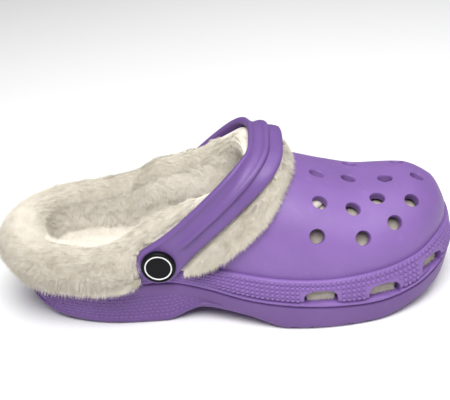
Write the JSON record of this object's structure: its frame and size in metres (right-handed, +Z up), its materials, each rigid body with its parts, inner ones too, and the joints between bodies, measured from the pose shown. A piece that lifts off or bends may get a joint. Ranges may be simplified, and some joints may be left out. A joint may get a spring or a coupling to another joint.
{
  "type": "clog slipper",
  "caption": "Fleece-lined moulded foam clog for the right foot, with round vents, side slots, a thick pile cuff and a pivoting heel strap worn forward over the instep",
  "frame": {"origin": "centre of the footprint box on the ground, the lowest plane of the sole", "axes": "+X points to the toe, +Y to the medial side, +Z up"},
  "size_m": [0.2808, 0.109, 0.1056],
  "materials": {
    "foam": "closed-cell foam moulded with a fine matte skin, lavender purple, fine raised grid on the side band",
    "strap_foam": "same foam as the body with a slightly smoother skin, a raised rib along the strap",
    "fleece": "cream deep-pile fleece, soft and dense, pile about a centimetre long at the cuff",
    "rivet_black": "glossy black cap with a fine white ring, bare centre",
    "washer": "plain grey moulded plastic"
  },
  "bodies": {
    "root": {"clog_body": "foam", "heel_strap": "strap_foam", "fleece_liner": "fleece", "fleece_insole": "fleece", "rivet_button_lateral": "rivet_black", "rivet_button_medial": "rivet_black", "rivet_washer_lateral": "washer", "rivet_washer_medial": "washer"}
  },
  "joints": []
}
